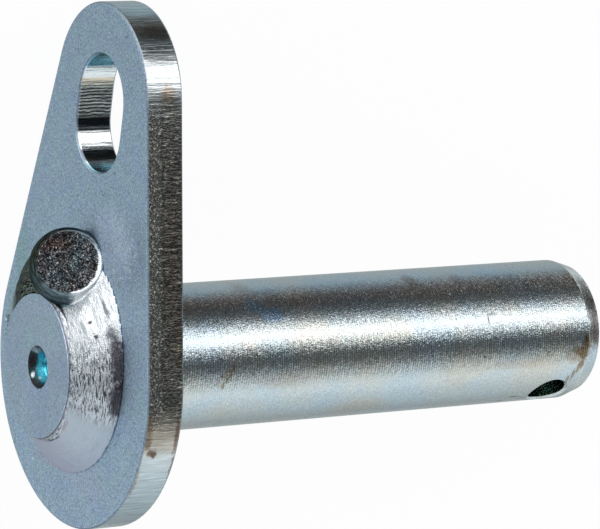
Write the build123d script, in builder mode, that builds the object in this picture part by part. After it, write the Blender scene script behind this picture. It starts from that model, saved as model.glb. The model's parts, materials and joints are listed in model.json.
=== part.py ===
"""Pivot pin: a turned bar welded through a flat retaining lug.

The bar carries a linkage eye.  The lug is drop shaped, with a slot for the bolt that
stops the pin turning and walking out, and a split pin through the far end keeps the
washer on.

The part can't stand, so it is modelled as it lies: on one flank of the lug and on the
lower rim of the bar's far end.  The origin is on the bar's axis at the lug's seating
face, +X follows the bar's axis along the ground, +Y goes towards the lug's narrow end
and +Z is up.  Millimetres and degrees.
"""

import os
from math import asin, atan2, cos, hypot, radians, sin, sqrt, tan

from build123d import *

# Bar
BAR_RADIUS = 15.0
REGISTER_RADIUS = 14.8  # turned down from the seating face to the head, so the lug meets a small cone
SHANK_LENGTH = 112.3  # from the lug's seating face to the far end
HEAD_PROUD = 7.7  # how far the bar stands out of the lug's front face
LEAD_IN_LENGTH = 3.5  # long bevel that guides the far end into its bores
LEAD_IN_ANGLE = 18.0
CENTRE_MOUTH_RADIUS = 4.3  # lathe centre in the head's end face
CENTRE_PILOT_RADIUS = 2.0
CENTRE_DEPTH = 9.0
CENTRE_ANGLE = 60.0
SPLIT_PIN_HOLE_RADIUS = 4.15
SPLIT_PIN_HOLE_INSET = 9.7  # from the far end to the hole's axis
SPLIT_PIN_HOLE_ANGLE = 133.0  # about the bar, from the lug's direction
SPLIT_PIN_HOLE_BREAK = 0.45  # bevel round the hole's two mouths

# Lug
LUG_THICKNESS = 8.0
ROUND_END_RADIUS = 32.3
ROUND_END_CENTRE = -1.15  # below the bar's axis
TIP_RADIUS = 18.95
TIP_CENTRE = 56.0  # above the bar's axis
LUG_EDGE_RADIUS = 0.6
LUG_BORE_GAP = 0.05  # round the register
SLOT_CENTRE = 52.75
SLOT_LENGTH = 23.5
SLOT_WIDTH = 18.0
SLOT_EDGE_BREAK = 0.5

# Weld.  Angles run about the bar, from the lug's direction towards the upper side.
BURN_SHIFT = 1.8  # how far the melted edge eats into the bar's end face
BEAD_ROOT_RADIUS = 12.0
BEAD_CROWN_RADIUS = 12.8
BEAD_STATIONS = [  # angle, radius of the toe on the lug, bulge of the face
    (10, 23.5, 0.1),
    (30, 24.7, 0.5),
    (60, 22.9, 1.1),
    (100, 21.5, 1.1),
    (150, 21.7, 0.7),
    (200, 23.8, 0.5),
    (245, 25.0, 0.7),
    (275, 26.8, 0.9),
    (298, 26.8, 1.3),
    (323, 26.6, 2.4),
    (343, 25.6, 3.0),
    (357, 26.0, 3.0),
]
MOUND_RADIUS = 7.85  # the ball of metal where the bead was stopped
MOUND_ANGLE = 4.5
MOUND_DISTANCE = 21.7  # from the bar's axis
MOUND_HEIGHT = 4.2  # of its centre above the lug's front face
CRATER_RADIUS = 6.3
CRATER_SAG = 0.5
CRATER_FACING = (-0.39, 0.48, 0.79)  # along the bar, along the lug, to the upper side

# How the part lies.  The flank is a tangent to the lug's two round ends, and the bar
# slopes down from the lug's rounded rear edge to the lead-in's shoulder.
flank_angle = asin((ROUND_END_RADIUS - TIP_RADIUS) / (TIP_CENTRE - ROUND_END_CENTRE))
flank_reach = ROUND_END_RADIUS + ROUND_END_CENTRE * sin(flank_angle)
shoulder = SHANK_LENGTH - LEAD_IN_LENGTH
run = shoulder + LUG_EDGE_RADIUS
drop = flank_reach - LUG_EDGE_RADIUS - BAR_RADIUS
slope = atan2(drop, run) + asin(LUG_EDGE_RADIUS / hypot(run, drop))

bar_direction = Vector(cos(slope), 0, -sin(slope))
lug_direction = Vector(-sin(slope) * sin(flank_angle), cos(flank_angle), -cos(slope) * sin(flank_angle))
side_direction = bar_direction.cross(lug_direction)
bar_axis = Axis((0, 0, 0), bar_direction)

# Square to the bar, at the lug's seating face: local X to the narrow end, local Z to the far end.
seat_plane = Plane(origin=(0, 0, 0), x_dir=lug_direction, z_dir=bar_direction)
# Along the bar: local X to the far end, local Y to the lug's narrow end.
profile_plane = Plane(origin=(0, 0, 0), x_dir=bar_direction, z_dir=side_direction)

head_end = -(LUG_THICKNESS + HEAD_PROUD)
front_centre = bar_direction * -LUG_THICKNESS
register_step = BAR_RADIUS - REGISTER_RADIUS


def around_bar(angle):
    """The direction out from the bar's axis at an angle about it."""
    return lug_direction * cos(radians(angle)) + side_direction * sin(radians(angle))


# The bar: turned, with a lathe centre in its head and a drilled hole near its far end.
with BuildPart() as pivot_bar:
    with BuildSketch(profile_plane):
        with BuildLine():
            Polyline(
                (head_end, 0),
                (head_end, REGISTER_RADIUS),
                (-register_step, REGISTER_RADIUS),
                (0, BAR_RADIUS),
                (shoulder, BAR_RADIUS),
                (SHANK_LENGTH, BAR_RADIUS - LEAD_IN_LENGTH * tan(radians(LEAD_IN_ANGLE))),
                (SHANK_LENGTH, 0),
                close=True,
            )
        make_face()
    revolve(axis=bar_axis)

    # The arc melted the head's edge away on the upper side, in a crescent.
    burn_origin = side_direction * -BURN_SHIFT
    burn_depth = 2 * BURN_SHIFT
    with BuildSketch(profile_plane.offset(-BURN_SHIFT)):
        with BuildLine():
            Polyline(
                (head_end, REGISTER_RADIUS),
                (head_end, REGISTER_RADIUS + burn_depth),
                (head_end + burn_depth, REGISTER_RADIUS + burn_depth),
                close=True,
            )
        make_face()
    revolve(axis=Axis(burn_origin, bar_direction), mode=Mode.SUBTRACT)

    with Locations(Plane(origin=bar_direction * head_end, x_dir=lug_direction, z_dir=-bar_direction)):
        CounterSinkHole(CENTRE_PILOT_RADIUS, CENTRE_MOUTH_RADIUS, CENTRE_DEPTH, CENTRE_ANGLE)

    hole_plane = Plane(
        origin=bar_direction * (SHANK_LENGTH - SPLIT_PIN_HOLE_INSET),
        x_dir=bar_direction,
        z_dir=around_bar(SPLIT_PIN_HOLE_ANGLE),
    )
    with Locations(hole_plane):
        Hole(SPLIT_PIN_HOLE_RADIUS)
    mouths = pivot_bar.edges(Select.LAST).filter_by(GeomType.BSPLINE)
    chamfer(mouths, SPLIT_PIN_HOLE_BREAK)

# The lug: cut from plate, two round ends joined by straight flanks.
with BuildPart() as retaining_lug:
    with BuildSketch(seat_plane):
        with Locations((ROUND_END_CENTRE, 0)):
            Circle(ROUND_END_RADIUS)
        with Locations((TIP_CENTRE, 0)):
            Circle(TIP_RADIUS)
        make_hull()
    extrude(amount=-LUG_THICKNESS)
    outer_faces = retaining_lug.faces().filter_by(bar_axis)
    fillet(outer_faces.edges(), LUG_EDGE_RADIUS)

    with BuildSketch(seat_plane):
        with Locations((SLOT_CENTRE, 0)):
            SlotOverall(SLOT_LENGTH, SLOT_WIDTH)
    extrude(amount=-LUG_THICKNESS, mode=Mode.SUBTRACT)
    slot_rims = retaining_lug.edges(Select.LAST).filter_by(bar_axis, reverse=True)
    chamfer(slot_rims, SLOT_EDGE_BREAK)

    with BuildSketch(seat_plane):
        Circle(REGISTER_RADIUS + LUG_BORE_GAP)
    extrude(amount=-LUG_THICKNESS, mode=Mode.SUBTRACT)
    bore_rims = retaining_lug.edges(Select.LAST).filter_by(GeomType.CIRCLE).sort_by(bar_axis)
    chamfer(bore_rims[-1], register_step)

# The weld: one run round the head, laid from under the mound, round the bar and back to it.
mound_centre = front_centre - bar_direction * MOUND_HEIGHT + around_bar(MOUND_ANGLE) * MOUND_DISTANCE
facing = Vector(*CRATER_FACING).normalized()
crater_direction = bar_direction * facing.X + lug_direction * facing.Y + side_direction * facing.Z
crater_level = sqrt(MOUND_RADIUS**2 - CRATER_RADIUS**2)
dish_radius = (CRATER_RADIUS**2 + CRATER_SAG**2) / (2 * CRATER_SAG)
dish_centre = mound_centre + crater_direction * (crater_level - CRATER_SAG + dish_radius)

with BuildPart() as weld_bead:
    # The stopped end: a ball of metal with a shallow dish in it.
    with Locations(mound_centre):
        Sphere(MOUND_RADIUS)
    with Locations(dish_centre):
        Sphere(dish_radius, mode=Mode.SUBTRACT)

    for angle, toe_radius, bulge in BEAD_STATIONS:
        radial = around_bar(angle)
        with BuildSketch(Plane(origin=front_centre, x_dir=radial, z_dir=radial.cross(-bar_direction))):
            with BuildLine():
                toe = Vector(toe_radius, 0)
                crown = Vector(BEAD_CROWN_RADIUS, HEAD_PROUD)
                outward = Vector(crown.Y, toe.X - crown.X).normalized()
                Polyline(crown, (BEAD_ROOT_RADIUS, HEAD_PROUD), (BEAD_ROOT_RADIUS, 0), toe)
                ThreePointArc(toe, (toe + crown) / 2 + outward * bulge, crown)
            make_face()
    loft()

    # Nothing of it lies in the lug or the bar, or on the bar's end face.
    split(bisect_by=Plane(origin=front_centre, z_dir=-bar_direction))
    with BuildSketch(seat_plane.offset(head_end)):
        Circle(REGISTER_RADIUS)
    extrude(amount=-MOUND_RADIUS, mode=Mode.SUBTRACT)
    add(pivot_bar.part, mode=Mode.SUBTRACT)

os.makedirs("parts", exist_ok=True)
for name, piece in (
    ("pivot_bar", pivot_bar),
    ("retaining_lug", retaining_lug),
    ("weld_bead", weld_bead),
):
    piece.part.label = name
    export_step(piece.part, f"parts/{name}.step")
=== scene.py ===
"""Looks for the pivot pin: plated finishes, the weld's own surface, the studio and the camera.

The part lies on the ground.  Its own directions are along the bar (to the far end), along
the lug (to its narrow end) and across both (to the upper side).  The patterns and marks of
every finish are laid out in them, in millimetres from the seating face on the bar's axis.
"""

import json
from math import cos, radians, sin, sqrt

import bmesh
import bpy
import numpy as np
from mathutils import Matrix, Vector, noise


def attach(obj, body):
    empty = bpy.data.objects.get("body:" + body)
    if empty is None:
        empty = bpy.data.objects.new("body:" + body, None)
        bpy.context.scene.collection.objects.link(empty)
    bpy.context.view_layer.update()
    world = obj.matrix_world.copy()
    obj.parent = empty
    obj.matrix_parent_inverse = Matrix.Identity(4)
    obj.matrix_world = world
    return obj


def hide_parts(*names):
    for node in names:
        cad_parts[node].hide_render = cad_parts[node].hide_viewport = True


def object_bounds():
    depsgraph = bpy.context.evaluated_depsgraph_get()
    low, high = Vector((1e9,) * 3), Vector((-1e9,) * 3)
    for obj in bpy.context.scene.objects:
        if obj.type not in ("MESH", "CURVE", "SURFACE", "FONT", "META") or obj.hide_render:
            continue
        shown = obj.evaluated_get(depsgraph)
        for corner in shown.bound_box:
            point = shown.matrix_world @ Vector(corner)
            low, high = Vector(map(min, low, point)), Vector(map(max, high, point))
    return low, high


bl_info = {
    "name": "Pivot Pin Looks",
    "version": (1, 0, 0),
    "blender": (4, 5, 0),
    "location": "View3D > Sidebar > Pivot Pin",
    "description": "Zinc-plated finishes, weld surface, studio and camera for a pivot pin",
    "category": "Object",
}

MM = 0.001

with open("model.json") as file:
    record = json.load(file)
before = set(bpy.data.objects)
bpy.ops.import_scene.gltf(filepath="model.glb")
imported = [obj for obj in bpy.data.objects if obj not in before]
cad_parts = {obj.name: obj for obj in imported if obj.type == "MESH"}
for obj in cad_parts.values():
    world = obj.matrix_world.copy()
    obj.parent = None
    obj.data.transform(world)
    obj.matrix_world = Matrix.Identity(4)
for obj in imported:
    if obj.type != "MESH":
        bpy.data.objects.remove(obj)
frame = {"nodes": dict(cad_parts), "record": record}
cad_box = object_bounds()
mounts = {mount["name"]: mount for mount in frame["record"]["mounts"]}

ALONG_BAR = Vector(mounts["shank"]["axis"]).normalized()
ALONG_LUG = Vector(mounts["seat_face"]["pos_m"]).normalized()
ACROSS = ALONG_BAR.cross(ALONG_LUG).normalized()
ALONG_LUG = ACROSS.cross(ALONG_BAR).normalized()

# Rows turn a point of the scene into the part's own directions.
TO_PART = Matrix((ALONG_BAR, ALONG_LUG, ACROSS))

HOLE_AXIS = TO_PART @ Vector(mounts["split_pin_hole"]["axis"])
HOLE_CENTRE = TO_PART @ Vector(mounts["split_pin_hole"]["pos_m"]) / MM
HOLE_RADIUS = mounts["split_pin_hole"]["dims"]["r_mm"]
LUG_THICKNESS = 8.0
HEAD_END = -15.7
FAR_END = 112.3
CENTRE_MOUTH = 4.3
SLOT_CENTRE = 52.75

# The weld's stopped end: a ball of metal with a dish in it.
MOUND_RADIUS = 7.85
MOUND_ANGLE = radians(4.5)
MOUND_DISTANCE = 21.7
MOUND_HEIGHT = 4.2
CRATER_RADIUS = 6.3
CRATER_FACING = Vector((-0.39, 0.48, 0.79)).normalized()
MOUND_CENTRE = Vector(
    (
        -LUG_THICKNESS - MOUND_HEIGHT,
        MOUND_DISTANCE * cos(MOUND_ANGLE),
        MOUND_DISTANCE * sin(MOUND_ANGLE),
    )
)
CRATER_LEVEL = sqrt(MOUND_RADIUS**2 - CRATER_RADIUS**2)
# Across the crater: to the side where its lip stands and shines, and a quarter turn on.
LIP_SIDE = Vector((0.807, -0.236, 0.542)).normalized()
LIP_NEXT = CRATER_FACING.cross(LIP_SIDE).normalized()

# What stands up from the weld, in millimetres: ripples and lumps along the run, slag in the
# crater, and a drop that ran down from the stopped end, at an angle and a distance.
RIPPLE_HEIGHT = 0.09
LUMP_HEIGHT = 0.12
SLAG_HEIGHT = 0.30
DROP_HEIGHT = 0.40
DROP_ANGLE = 44
DROP_DISTANCE = 18.6

# Beads of spatter on the weld's side below the tail: where, and how big across.
SPATTER = (
    ((-13.5, 3.7, -18.9), 1.6),
    ((-14.1, 2.5, -18.2), 0.8),
    ((-13.5, 0.6, -19.0), 1.2),
    ((-12.6, -0.4, -19.9), 0.7),
)

# Ends of the scales, in degrees, that colours are laid out on: round the bar, round the part
# in the studio, and round the crater from the bright side of its lip.
FULL_TURN = (0.0, 360.0)
STUDIO_TURN = (-120.0, 240.0)
CRATER_TURN = (-165.0, 195.0)

# A wave texture of scale 1 repeats after this distance.
WAVE_LENGTH = 0.314

# Stains and scratches: where, how far they reach each way, colour and strength.
BAR_MARKS = (
    ((28.0, 14.6, 2.6), (2.6, 3.0, 4.0), "#9A8A7C", 0.35),
    ((28.4, 13.0, 7.6), (2.8, 2.4, 2.6), "#B8E0FF", 0.95),
    ((31.8, 11.6, 9.6), (3.4, 2.0, 2.4), "#B0D4F8", 0.95),
    ((18.9, -1.1, 15.0), (0.5, 1.3, 2.0), "#93815C", 0.75),
    ((19.6, 0.2, 15.0), (0.5, 1.3, 2.0), "#93815C", 0.75),
    ((20.3, 1.4, 14.9), (0.5, 1.3, 2.0), "#93815C", 0.75),
    ((21.0, 2.5, 14.8), (0.5, 1.0, 2.0), "#8A6A48", 0.65),
    ((17.6, -0.4, 15.0), (0.4, 0.9, 2.0), "#A88A64", 0.60),
    ((18.5, 0.7, 15.0), (0.4, 0.9, 2.0), "#A88A64", 0.60),
    ((19.3, 1.8, 14.9), (0.4, 0.9, 2.0), "#A88A64", 0.60),
    ((68.5, 14.6, 3.4), (2.2, 2.6, 3.0), "#8A7468", 0.55),
    ((80.0, 14.5, 4.0), (2.0, 2.0, 3.0), "#8C7C74", 0.35),
    ((83.5, 8.1, 12.6), (0.25, 1.4, 1.3), "#3C3A3A", 0.80),
    ((84.6, 9.0, 12.0), (1.6, 0.3, 0.5), "#4A4846", 0.60),
    ((82.2, 0.7, 15.0), (0.40, 0.5, 0.6), "#3A342E", 0.80),
    ((54.0, -9.6, 11.5), (9.0, 3.5, 4.0), "#C9BFAE", 0.55),
    ((33.0, -1.0, 15.0), (7.0, 2.5, 3.0), "#B9AC98", 0.40),
    ((92.0, -1.6, 14.9), (9.0, 1.6, 3.0), "#C4B6A4", 0.40),
    ((110.8, 10.6, 9.6), (2.6, 6.4, 7.0), "#4A403C", 0.85),
    ((111.2, 5.2, 13.2), (2.0, 5.4, 4.0), "#5C524C", 0.80),
    ((110.8, 3.5, 14.0), (2.6, 3.0, 4.0), "#8A7A70", 0.50),
)
# Rust at the far end, and the thin run from it to the split-pin hole.
BAR_RUST = (
    ((108.6, 1.6, 14.9), (1.6, 2.8, 2.4), "#866A42", 0.85),
    ((106.8, 0.2, 15.0), (1.5, 1.4, 2.0), "#6E4A26", 0.85),
    ((105.9, -0.4, 15.0), (2.8, 2.2, 3.0), "#A8957A", 0.55),
    ((107.8, -0.9, 15.0), (1.3, 1.3, 2.0), "#7C6238", 0.80),
    ((107.9, -2.4, 14.8), (0.8, 2.2, 2.6), "#7C6038", 0.80),
    ((107.2, -3.8, 14.5), (0.5, 1.8, 2.6), "#86704C", 0.80),
    ((106.5, -5.2, 14.0), (0.5, 2.2, 2.6), "#8A7450", 0.80),
    ((105.6, -6.6, 13.5), (0.5, 1.8, 2.6), "#8E7A5A", 0.75),
    ((104.6, -7.6, 12.9), (0.7, 0.5, 2.2), "#7A5A3C", 0.80),
    ((92.0, -12.2, 8.9), (1.6, 0.4, 0.6), "#7A4636", 0.80),
)
BURRS = (
    ((94.4, -10.8, 10.4), (1.5, 0.25, 0.5), "#2E3434", 0.85),
    ((97.0, -11.6, 9.4), (1.6, 0.3, 0.5), "#20262A", 0.70),
)
# Painted light and shade in the lathe centre: a pale top, glints low on one side, a dark bottom.
CENTRE_LIGHT_AND_SHADE = (
    ((-14.8, 2.9, -2.5), (1.1, 1.5, 1.9), "#B4CCD8", 0.90),
    ((-14.6, 0.2, -3.8), (1.3, 3.2, 0.8), "#0C1416", 0.90),
    ((-15.1, -2.6, -2.8), (0.5, 1.3, 0.5), "#D0DCE0", 0.90),
    ((-14.4, -1.2, -2.9), (0.4, 0.9, 0.4), "#B0BEC4", 0.90),
    ((-14.2, -2.8, -1.3), (0.4, 0.5, 0.6), "#A8B8BE", 0.80),
    ((-14.9, -3.9, 0.6), (1.0, 0.8, 2.2), "#10181A", 0.90),
)
RIM_RUST = (
    ((-6.3, -7.4, 31.6), (0.8, 1.1, 3.0), "#5A3E22", 0.90),
    ((-5.3, -7.6, 31.6), (0.9, 1.2, 3.0), "#4A3014", 0.95),
    ((-6.9, -4.2, 32.1), (0.9, 3.2, 3.0), "#6B4E30", 0.60),
    ((-7.2, -1.5, 32.3), (0.8, 3.0, 3.0), "#7A5A3A", 0.70),
    ((-0.8, -4.0, 32.2), (0.7, 4.8, 3.0), "#5E3414", 0.85),
    ((-0.5, -11.0, 31.0), (0.4, 4.0, 3.0), "#7A5A40", 0.70),
    ((-7.6, -14.5, 29.8), (0.5, 5.5, 4.0), "#9A7A52", 0.60),
    ((-4.4, -3.6, 32.2), (3.4, 3.6, 3.0), "#ACA090", 0.40),
    ((-3.4, 61.6, 18.2), (2.0, 2.4, 3.0), "#C4A07A", 0.65),
    ((-0.8, 13.5, 29.6), (0.9, 6.0, 3.0), "#8E7B55", 0.55),
    ((-3.0, 71.8, 10.3), (5.0, 1.3, 3.0), "#5C5048", 0.60),
    ((-3.6, 68.6, 14.2), (5.0, 2.0, 3.0), "#564A42", 0.55),
    ((-1.8, 30.0, 25.0), (3.4, 34.0, 14.0), "#33271F", 0.75),
    ((-2.2, 59.0, 19.0), (3.4, 2.6, 4.0), "#8C8A80", 0.60),
    ((-0.1, -15.0, 29.0), (0.4, 16.0, 8.0), "#5A463C", 0.75),
    ((-7.2, -5.0, 32.1), (1.0, 1.6, 3.0), "#6A4E34", 0.60),
)
# On the lug's face: the plating's halo beside the weld, its bloom round the cold start, a nick
# and specks.
FACE_MARKS = (
    ((-8.0, 14.5, -25.5), (1.5, 9.0, 3.6), "#9CB9BE", 0.75),
    ((-8.0, 3.0, -28.0), (1.5, 7.0, 2.6), "#A2BCC0", 0.60),
    ((-8.0, -20.5, 9.0), (1.5, 5.5, 12.0), "#B8BCD2", 0.45),
    ((-8.0, -23.2, -8.0), (1.5, 1.0, 7.0), "#BCA6C2", 0.30),
    ((-8.0, -17.4, -21.3), (1.0, 0.8, 0.5), "#3A4450", 0.85),
    ((-8.0, -25.0, -12.2), (1.0, 0.6, 0.6), "#E4ECF0", 0.80),
)
# On the weld, as degrees about the bar, millimetres out from its axis and along it.
WELD_MARKS = (
    # Painted shade, purple-brown, on the toe on the upper side where its surface turns away, and
    # in the crease beside the stopped end.
    ((70, 22.0, -9.0), (20, 2.2, 2.2), "#3E343E", 0.90),
    ((90, 21.3, -8.9), (13, 2.0, 2.2), "#3A3036", 0.90),
    ((54, 21.8, -9.6), (5, 1.4, 1.6), "#3E444C", 0.70),
    ((40, 22.3, -9.8), (7, 0.4, 2.0), "#4E545C", 0.80),
    # A pink line round the cold start.
    ((172, 22.4, -9.0), (28, 0.9, 1.6), "#C2A4BE", 0.70),
    # Pits and rust on the inner edge.
    ((44, 19.3, -12.2), (1.6, 0.5, 0.9), "#2A2C30", 0.95),
    ((53.5, 19.6, -11.9), (1.6, 0.5, 0.9), "#33363A", 0.90),
    ((124, 14.7, -15.2), (8.0, 0.7, 0.9), "#A8908A", 0.60),
    ((153, 15.0, -15.1), (6.0, 0.6, 0.8), "#9A8480", 0.60),
    ((19, 14.6, -15.4), (3.0, 0.8, 0.6), "#8A4A44", 0.70),
    # The beads of spatter carry a painted highlight, with painted shadow round them.
    ((281.6, 19.2, -13.3), (3.6, 1.3, 1.3), "#2C4046", 0.80),
    ((272.0, 19.1, -13.3), (2.6, 1.0, 1.0), "#3A4E54", 0.60),
    ((280.8, 19.3, -14.2), (1.8, 0.8, 0.6), "#F8FCFE", 1.00),
    ((271.6, 19.1, -14.2), (1.4, 0.6, 0.5), "#D4E0E4", 1.00),
)


def linear(colour, alpha=1.0):
    """Linear RGBA of an sRGB hex value."""
    channels = [int(colour[i : i + 2], 16) / 255 for i in (1, 3, 5)]
    return [c / 12.92 if c <= 0.04045 else ((c + 0.055) / 1.055) ** 2.4 for c in channels] + [alpha]


def add_node(tree, kind, inputs=None, stops=None, span=(0, 1), **settings):
    """Adds a node, sets its properties and colour stops, and fills or links its inputs.

    A node given as an input is linked from its first output in use.  The places of the stops
    are given on the scale that runs from one end of the span to the other.
    """
    node = tree.nodes.new("ShaderNode" + kind)
    for name, value in settings.items():
        setattr(node, name, value)
    for key, value in (inputs or {}).items():
        if isinstance(value, bpy.types.Node):
            value = next(output for output in value.outputs if not output.is_unavailable)
        if isinstance(value, bpy.types.NodeSocket):
            tree.links.new(value, node.inputs[key])
        else:
            node.inputs[key].default_value = value
    if stops:
        elements = node.color_ramp.elements
        while len(elements) < len(stops):
            elements.new(1.0)
        low, high = span
        for element, (place, colour) in zip(elements, stops):
            element.position = (place - low) / (high - low)
            element.color = linear(colour)
    return node


def part_coordinates(tree):
    """Millimetres along the bar, along the lug and across, from the seating face's centre."""
    place = add_node(tree, "TexCoord")
    return add_node(
        tree,
        "Mapping",
        {"Vector": place.outputs["Object"], "Rotation": TO_PART.to_euler(), "Scale": (1 / MM,) * 3},
    )


def round_bar(tree, at):
    """Degrees about the bar from the lug's direction, and millimetres out from and along it."""
    apart = add_node(tree, "SeparateXYZ", {0: at})
    turn = add_node(
        tree, "Math", {0: apart.outputs["Z"], 1: apart.outputs["Y"]}, operation="ARCTAN2"
    )
    degrees = add_node(tree, "Math", {0: turn}, operation="DEGREES")
    angle = add_node(tree, "Math", {0: degrees, 1: 360.0, 2: 0.0}, operation="WRAP")
    off_axis = add_node(tree, "VectorMath", {0: at, 1: (0, 1, 1)}, operation="MULTIPLY")
    from_axis = add_node(tree, "VectorMath", {0: off_axis}, operation="LENGTH")
    return add_node(tree, "CombineXYZ", {0: angle, 1: from_axis, 2: apart.outputs["X"]})


def streaks_along_run(tree, around):
    """Streaks of slag and scale that follow the weld's run, 0.2 mm wide."""
    drawn_out = add_node(tree, "Mapping", {"Vector": around, "Scale": (0.2, 4.6, 4.6)})
    return add_node(
        tree, "TexNoise", {"Vector": drawn_out, "Scale": 1.0, "Detail": 3.0, "Roughness": 0.65}
    )


def patch(tree, at, ragged, centre, reach):
    """How far a point is inside an oval patch, 0 outside to 1 in its middle, with a torn edge."""
    local = add_node(
        tree, "Mapping", {"Vector": at, "Location": centre, "Scale": reach}, vector_type="TEXTURE"
    )
    away = add_node(tree, "VectorMath", {0: local}, operation="LENGTH")
    torn = add_node(tree, "Math", {0: ragged, 1: 1.3, 2: away}, operation="MULTIPLY_ADD")
    return add_node(
        tree,
        "MapRange",
        {"Value": torn, "From Min": 1.75, "From Max": 1.05},
        interpolation_type="SMOOTHSTEP",
    )


def lay_marks(tree, at, ragged, colour, marks):
    """Lays each mark's colour over a finish's own, where the mark lies."""
    for centre, reach, shade, strength in marks:
        share = add_node(
            tree,
            "Math",
            {0: patch(tree, at, ragged, centre, reach), 1: strength},
            operation="MULTIPLY",
        )
        colour = add_node(
            tree, "Mix", {"Factor": share, "A": colour, "B": linear(shade)}, data_type="RGBA"
        )
    return colour


class PivotPinStage(bpy.types.PropertyGroup):
    lens: bpy.props.FloatProperty(
        name="Lens", description="Focal length", default=227.75, subtype="DISTANCE_CAMERA"
    )
    floor_size: bpy.props.FloatProperty(
        name="Floor", description="Side of the floor", default=30.0, unit="LENGTH"
    )
    floor_colour: bpy.props.FloatVectorProperty(
        name="Floor colour",
        description="White paper",
        default=linear("#FBFBFB"),
        size=4,
        subtype="COLOR",
    )
    level: bpy.props.FloatProperty(
        name="Studio level", description="Strength of the strip lights", default=2.1, min=0
    )


class PivotPinFinish(bpy.types.PropertyGroup):
    bar_colour: bpy.props.FloatVectorProperty(
        name="Bar",
        description="Blue-passivated zinc on turned steel",
        default=linear("#CBD2D3"),
        size=4,
        subtype="COLOR",
    )
    face_colour: bpy.props.FloatVectorProperty(
        name="Faces",
        description="Blue-passivated zinc on the lug's faces and the bar's head",
        default=linear("#AEC0D2"),
        size=4,
        subtype="COLOR",
    )
    rim_colour: bpy.props.FloatVectorProperty(
        name="Rim",
        description="Zinc over the lug's flame-cut rim",
        default=linear("#BEBAB3"),
        size=4,
        subtype="COLOR",
    )
    weld_colour: bpy.props.FloatVectorProperty(
        name="Weld",
        description="Blue-passivated zinc on weld metal",
        default=linear("#D6DADE"),
        size=4,
        subtype="COLOR",
    )
    turning_pitch: bpy.props.FloatProperty(
        name="Turning lines",
        description="Drawn spacing of the lathe's lines",
        default=0.54 * MM,
        unit="LENGTH",
        precision=5,
    )
    cut_pitch: bpy.props.FloatProperty(
        name="Cutting lines",
        description="Spacing of the drag lines across the lug's cut edges",
        default=0.6 * MM,
        unit="LENGTH",
        precision=5,
    )
    weld_grid: bpy.props.FloatProperty(
        name="Weld grid",
        description="Spacing of the weld's surface mesh",
        default=0.24 * MM,
        unit="LENGTH",
        precision=5,
    )


def new_material(name):
    """A material that still has no nodes, and its node tree."""
    material = bpy.data.materials.new(name)
    material.use_nodes = True
    material.node_tree.nodes.clear()
    return material, material.node_tree


def cover(node_name, material):
    """Gives a CAD node its finish."""
    mesh = frame["nodes"][node_name].data
    mesh.materials.clear()
    mesh.materials.append(material)


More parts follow.
